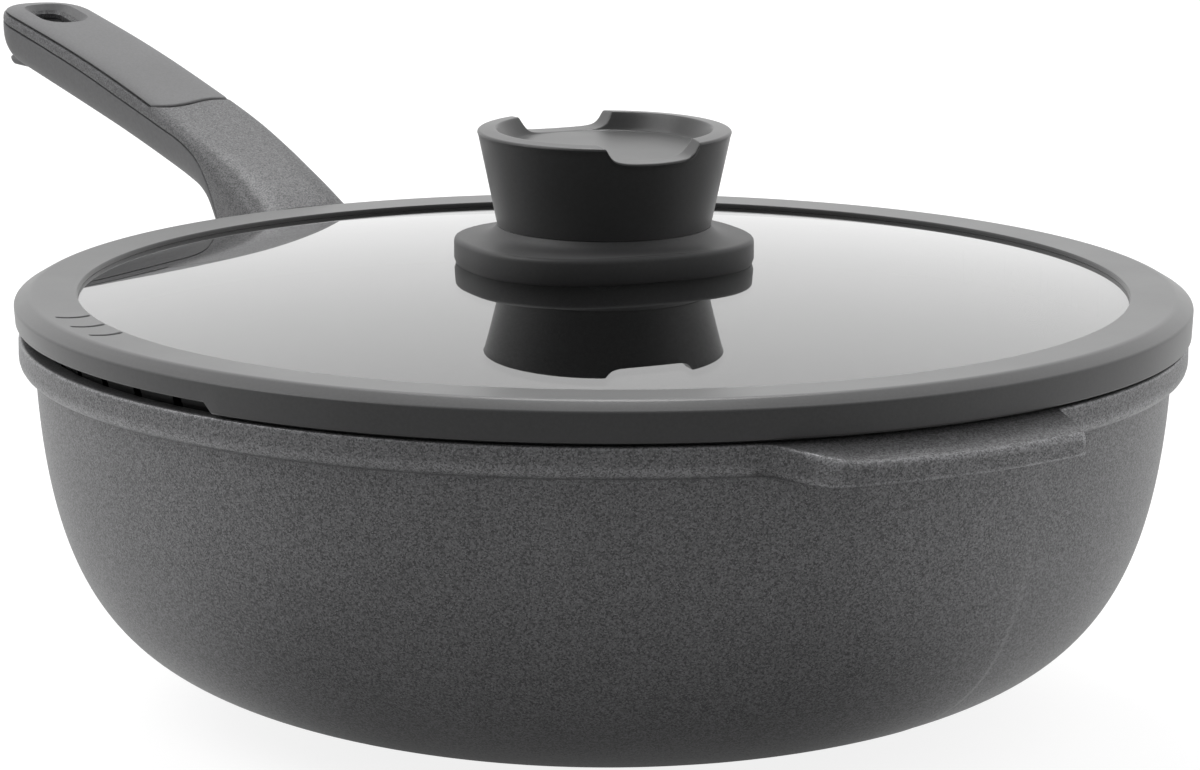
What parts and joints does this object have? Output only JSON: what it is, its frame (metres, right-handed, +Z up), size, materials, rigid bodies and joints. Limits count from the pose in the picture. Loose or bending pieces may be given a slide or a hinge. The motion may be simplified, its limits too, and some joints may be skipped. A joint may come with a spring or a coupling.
{
  "type": "wok with lid",
  "caption": "Deep flat-bottomed wok with a long two-shell handle, a cast helper tab and a domed glass lid whose soft ring drains at two notches; the knob holds a spoon.",
  "frame": {"origin": "centre of the flat underside that stands on the hob", "axes": "+Z up out of the bowl, +X towards the helper tab, the long handle along -X"},
  "size_m": [0.4592, 0.292, 0.1437],
  "materials": {
    "speckled_coat": "dark grey non-stick coat with fine metallic speckle on cast aluminium",
    "base_steel": "spun steel disc",
    "fixing_steel": "plain steel",
    "handle_coat": "heat-proof moulding with a speckled grey coat",
    "handle_plastic": "fine-grained grey moulding",
    "grip_rubber": "soft-touch grey pad",
    "lid_glass": "smooth toughened glass",
    "lid_silicone": "matt grey silicone",
    "foot_silicone": "matt dark grey silicone",
    "knob_plastic": "fine-grained dark moulding",
    "insert_brass": "turned brass"
  },
  "bodies": {
    "pan": {"pan_body": "speckled_coat", "base_plate": "base_steel", "handle_core": "fixing_steel", "handle_upper_shell": "handle_coat", "handle_lower_shell": "handle_plastic", "handle_grip_pad": "grip_rubber", "lug_screw_1": "fixing_steel", "lug_screw_2": "fixing_steel", "shell_screw_1": "fixing_steel", "shell_screw_2": "fixing_steel"},
    "knob_fixing": {"knob_screw": "fixing_steel", "steel_washer": "fixing_steel", "soft_washer": "lid_silicone", "knob_insert": "insert_brass", "glass_sleeve": "lid_silicone"},
    "lid": {"lid_glass": "lid_glass", "lid_ring": "lid_silicone", "knob_foot": "foot_silicone", "knob_cup": "knob_plastic"}
  },
  "joints": [
    {"name": "lid_lift", "type": "slide", "parent": "pan", "child": "knob_fixing", "axis": [0, 0, 1], "range_m": [0, 0.15]},
    {"name": "lid_turn", "type": "hinge", "parent": "knob_fixing", "child": "lid", "pos_m": [0, 0, 0.11], "axis": [0, 0, 1], "continuous": true}
  ]
}
